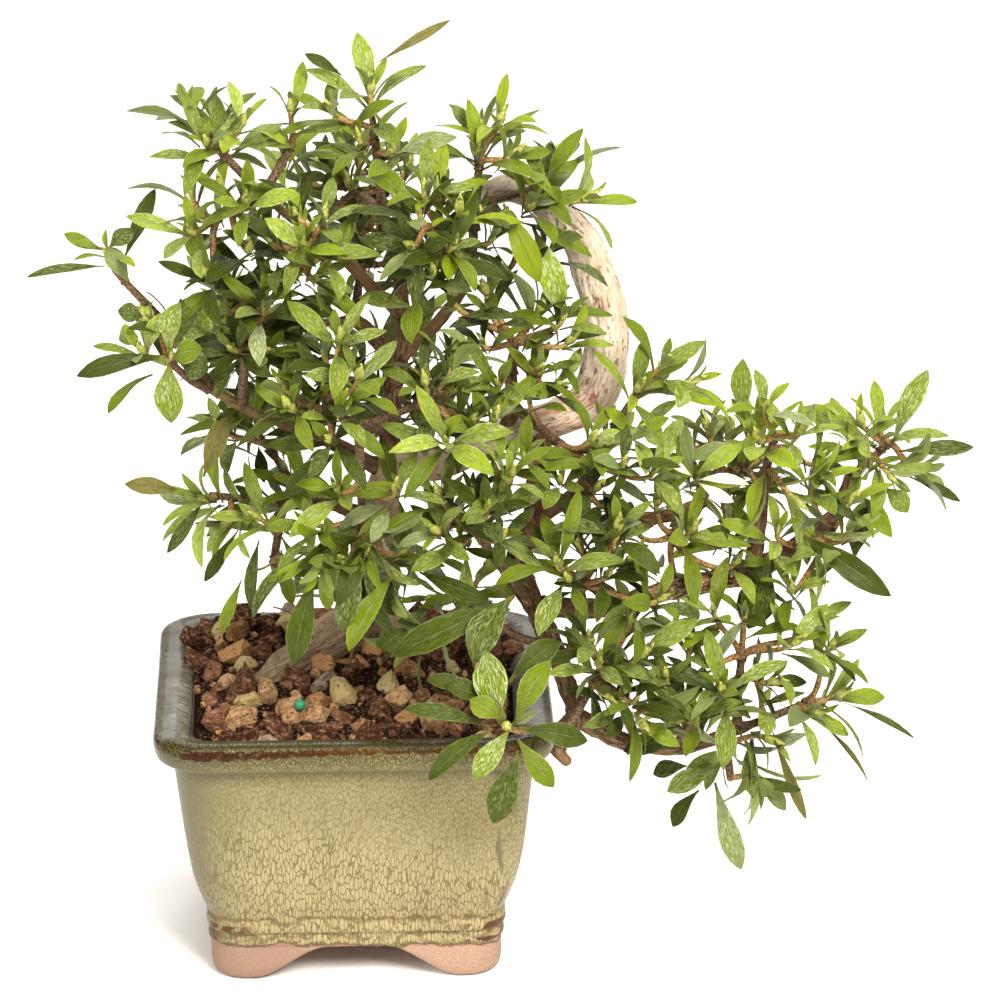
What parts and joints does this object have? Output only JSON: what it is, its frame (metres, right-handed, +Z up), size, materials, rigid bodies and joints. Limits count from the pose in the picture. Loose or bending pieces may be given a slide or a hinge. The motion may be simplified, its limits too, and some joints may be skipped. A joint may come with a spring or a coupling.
{
  "type": "satsuki azalea bonsai in a square glazed pot",
  "caption": "Small azalea grown as a bonsai: a looped, cascading trunk with leafy shoots, planted in coarse soil in a footed square glazed ceramic pot.",
  "frame": {"origin": "on the surface the pot stands on, under the middle of the whole tree's bounding box", "axes": "+Z up, -Y towards the front of the tree, +X towards the side where the low branches cascade"},
  "size_m": [0.3694, 0.2029, 0.3594],
  "materials": {
    "pot_glaze": "gloss",
    "soil_chips": "matte",
    "pale_bark": "matte",
    "dark_bark": "matte",
    "leaves": "satin"
  },
  "bodies": {
    "root": {"pot": "pot_glaze", "soil": "soil_chips", "trunk_base": "pale_bark", "trunk_cross": "pale_bark", "trunk_arch": "pale_bark", "trunk_end": "pale_bark", "bough_back": "dark_bark", "bough_front": "dark_bark", "bough_inner": "dark_bark", "bough_leader": "dark_bark", "bough_left": "dark_bark", "bough_lichen": "dark_bark", "bough_low_left": "dark_bark", "bough_low_right": "dark_bark", "bough_right_high": "dark_bark", "bough_right_mid": "dark_bark", "bough_right_up": "dark_bark", "bough_top_left": "dark_bark", "bough_top_right": "dark_bark", "cascade": "dark_bark", "mass_arch_leaves": "leaves", "mass_arch_tip": "leaves", "mass_back_left": "leaves", "mass_back_low": "leaves", "mass_back_right": "leaves", "mass_back_upper": "leaves", "mass_centre": "leaves", "mass_centre_front": "leaves", "mass_centre_right": "leaves", "mass_crown_front": "leaves", "mass_far_left": "leaves", "mass_far_right": "leaves", "mass_front_whorl": "leaves", "mass_inner_arch": "leaves", "mass_left_inner": "leaves", "mass_left_low": "leaves", "mass_left_shoulder": "leaves", "mass_left_whorl": "leaves", "mass_low_centre": "leaves", "mass_low_cluster": "leaves", "mass_low_left": "leaves", "mass_low_right": "leaves", "mass_low_right_far": "leaves", "mass_low_right_top": "leaves", "mass_low_tip": "leaves", "mass_mid_cluster": "leaves", "mass_mid_left": "leaves", "mass_mid_right": "leaves", "mass_right_high": "leaves", "mass_right_low": "leaves", "mass_right_mid": "leaves", "mass_right_of_arch": "leaves", "mass_shoot_front": "leaves", "mass_top_back": "leaves", "mass_top_centre": "leaves", "mass_top_left": "leaves", "mass_top_right": "leaves", "mass_top_tip": "leaves", "mass_trunk_leaves": "leaves", "mass_upper_left": "leaves"}
  },
  "joints": []
}
